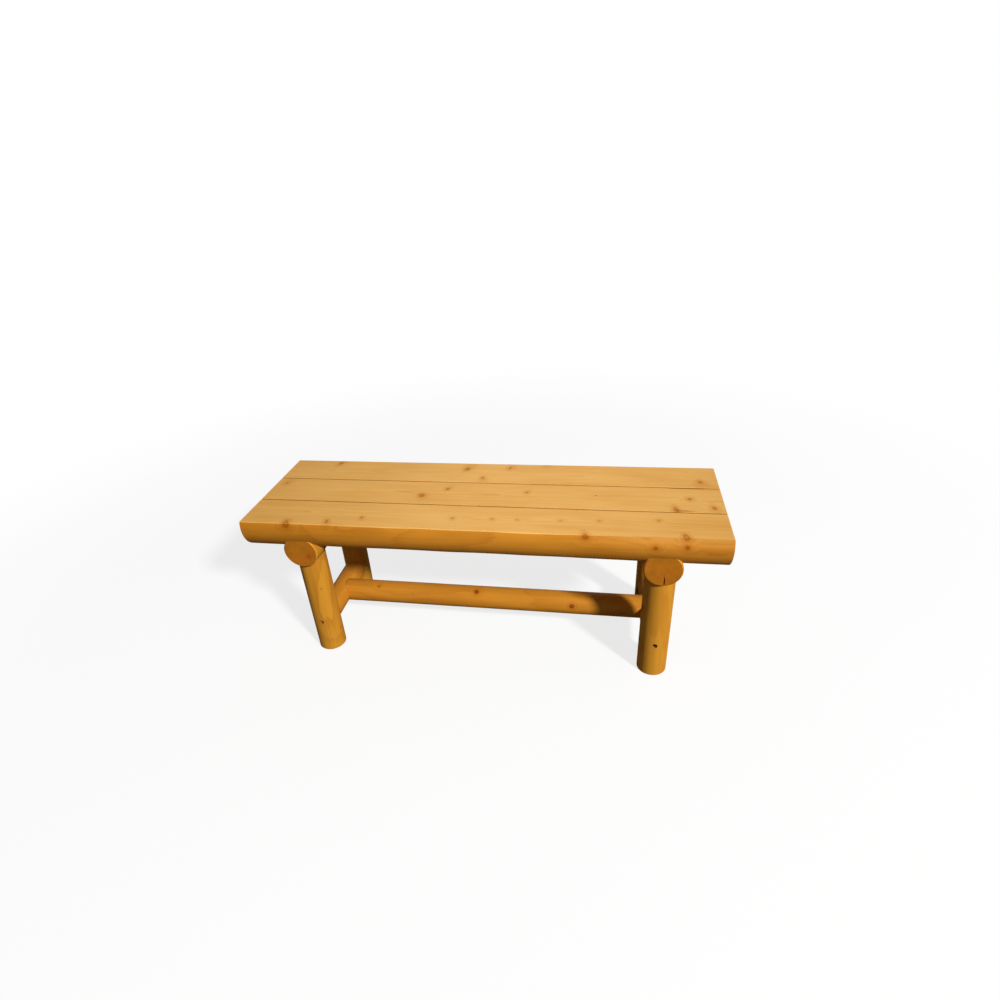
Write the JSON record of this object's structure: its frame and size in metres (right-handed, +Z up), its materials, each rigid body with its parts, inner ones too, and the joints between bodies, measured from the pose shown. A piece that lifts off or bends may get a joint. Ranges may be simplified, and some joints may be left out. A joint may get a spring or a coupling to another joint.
{
  "type": "log bench",
  "caption": "Rustic log bench: a seat of flat-topped logs on round cross-logs, round legs hollowed to fit them, side rails and a long stretcher.",
  "frame": {"origin": "on the floor, under the middle of the seat", "axes": "+X along the bench to the right as seen from the front, +Y to the back, +Z up"},
  "size_m": [1.15, 0.3598, 0.42],
  "materials": {
    "seat_wood": "sawn and sanded softwood log under a satin honey-maple stain",
    "frame_wood": "turned softwood log under a satin honey-maple stain",
    "screw_steel": "zinc-plated steel"
  },
  "bodies": {
    "root": {"seat_log_front": "seat_wood", "seat_log_middle": "seat_wood", "seat_log_rear": "seat_wood", "bearer_left": "frame_wood", "bearer_right": "frame_wood", "leg_front_left": "frame_wood", "leg_front_right": "frame_wood", "leg_rear_left": "frame_wood", "leg_rear_right": "frame_wood", "side_rail_left": "frame_wood", "side_rail_right": "frame_wood", "long_stretcher": "frame_wood", "rail_screws": "screw_steel", "stretcher_screws": "screw_steel", "leg_screws": "screw_steel", "seat_screws": "screw_steel", "seat_washers": "screw_steel"}
  },
  "joints": []
}
